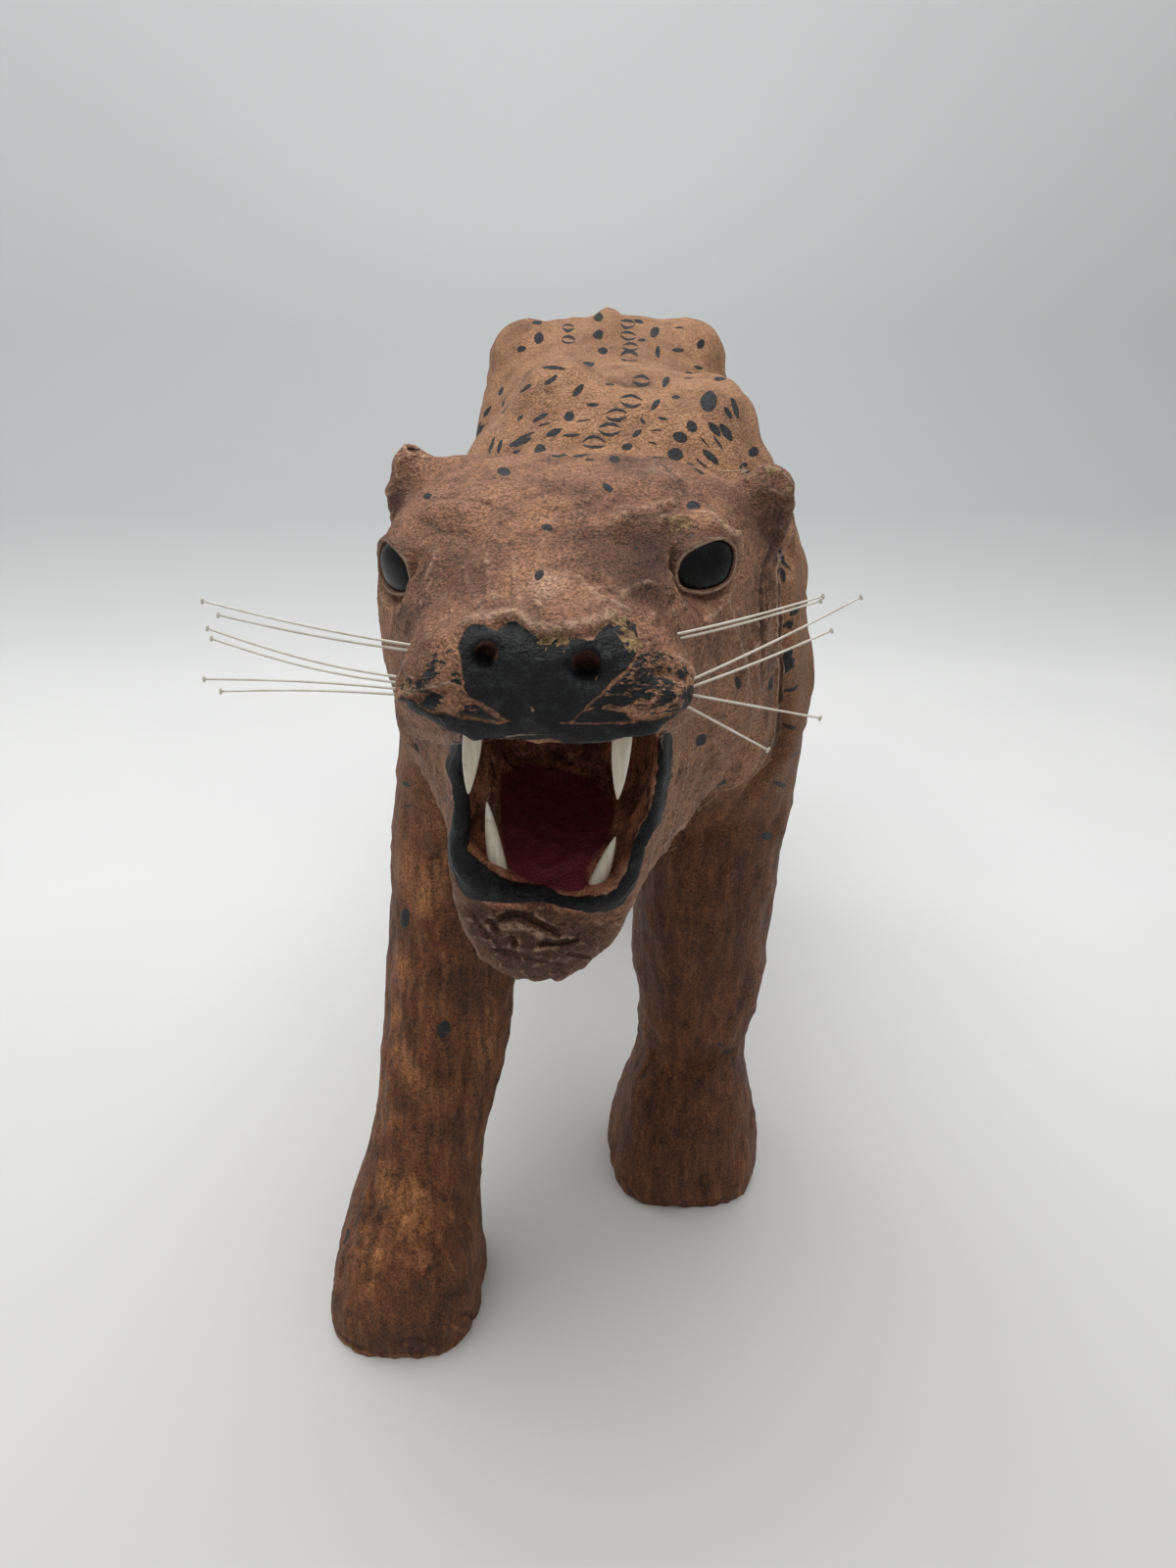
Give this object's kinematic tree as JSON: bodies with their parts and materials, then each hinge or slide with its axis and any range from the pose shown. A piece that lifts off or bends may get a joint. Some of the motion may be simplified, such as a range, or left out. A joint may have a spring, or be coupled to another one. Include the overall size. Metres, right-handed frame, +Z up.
{
  "type": "leopard figurine",
  "caption": "Standing leopard figurine in painted leather over a formed core, with open jaws, ivory-coloured fangs, glossy dark eyes and stiff bristle whiskers.",
  "frame": {"origin": "on the floor, below the middle of the bounding box", "axes": "+Y from nose to tail, +X to the animal's left, +Z up"},
  "size_m": [0.137, 0.4418, 0.2551],
  "materials": {
    "leather": "worn brown leather with black painted spots, nose and lips and a maroon mouth",
    "black_glass": "polished black",
    "ivory_resin": "smooth ivory colour",
    "nylon_bristle": "translucent pale bristle"
  },
  "bodies": {
    "root": {"leather_body": "leather", "eye_right": "black_glass", "eye_left": "black_glass", "fang_upper_right": "ivory_resin", "fang_upper_left": "ivory_resin", "fang_lower_right": "ivory_resin", "fang_lower_left": "ivory_resin", "whisker_right_top_a": "nylon_bristle", "whisker_right_top_b": "nylon_bristle", "whisker_right_middle_a": "nylon_bristle", "whisker_right_middle_b": "nylon_bristle", "whisker_right_low_a": "nylon_bristle", "whisker_right_low_b": "nylon_bristle", "whisker_left_top_a": "nylon_bristle", "whisker_left_top_b": "nylon_bristle", "whisker_left_middle_a": "nylon_bristle", "whisker_left_middle_b": "nylon_bristle", "whisker_left_low_a": "nylon_bristle", "whisker_left_low_b": "nylon_bristle"}
  },
  "joints": []
}
